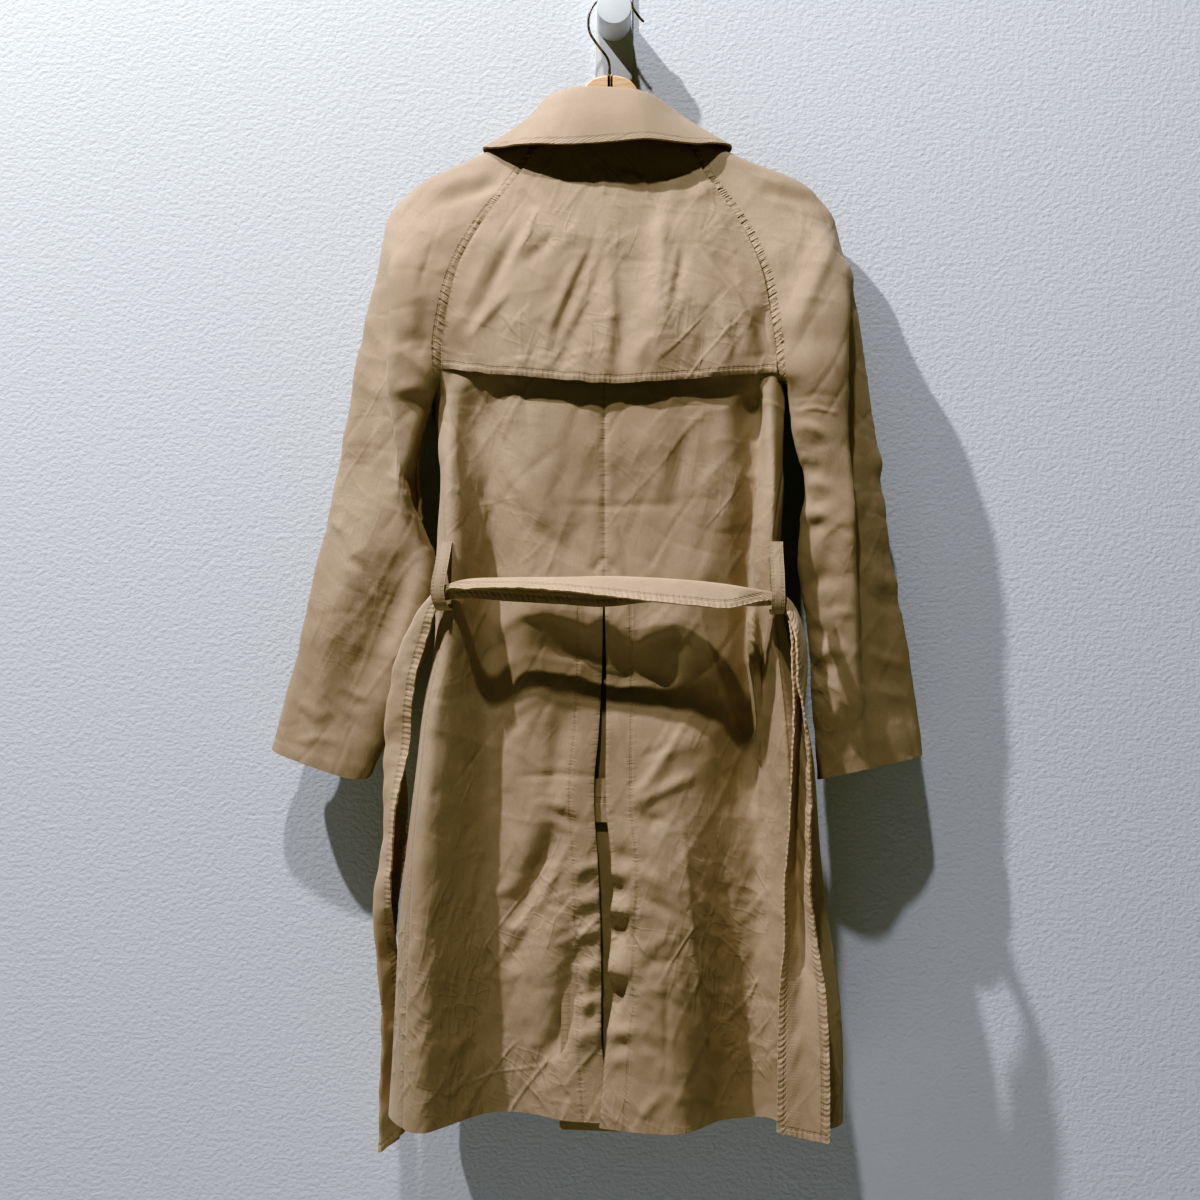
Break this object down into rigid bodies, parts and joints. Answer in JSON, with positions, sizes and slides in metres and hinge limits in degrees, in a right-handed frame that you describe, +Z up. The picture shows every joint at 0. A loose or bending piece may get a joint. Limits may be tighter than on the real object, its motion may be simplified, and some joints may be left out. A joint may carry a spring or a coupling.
{
  "type": "trench coat on wall hook",
  "caption": "Belted trench coat hanging back outwards on a wooden hanger from a round peg on a wall plate, with its belt ends hanging loose.",
  "frame": {"origin": "on the back face of the wall plate, behind the axis of the peg", "axes": "+Z up, +Y into the wall, +X to the right for someone who faces the wall"},
  "size_m": [0.668, 0.1655, 1.2173],
  "materials": {
    "gabardine": "matt cotton gabardine",
    "belt_gabardine": "matt cotton gabardine, double layer",
    "hanger_wood": "satin lacquered pale wood",
    "hook_wire": "dark plated wire",
    "wall_hook": "satin white paint"
  },
  "bodies": {
    "root": {"back_left": "gabardine", "back_right": "gabardine", "front_left": "gabardine", "front_right": "gabardine", "sleeve_back_left": "gabardine", "sleeve_front_left": "gabardine", "sleeve_back_right": "gabardine", "sleeve_front_right": "gabardine", "storm_flap": "gabardine", "collar_fall": "gabardine", "collar_stand": "gabardine", "belt_loop_left": "gabardine", "belt_loop_right": "gabardine", "vent_underlay": "gabardine", "vent_tab": "gabardine", "belt": "belt_gabardine", "hanger_arm_left": "hanger_wood", "hanger_arm_right": "hanger_wood", "hanger_hook": "hook_wire", "wall_plate": "wall_hook", "wall_peg": "wall_hook", "peg_cap": "wall_hook"}
  },
  "joints": []
}
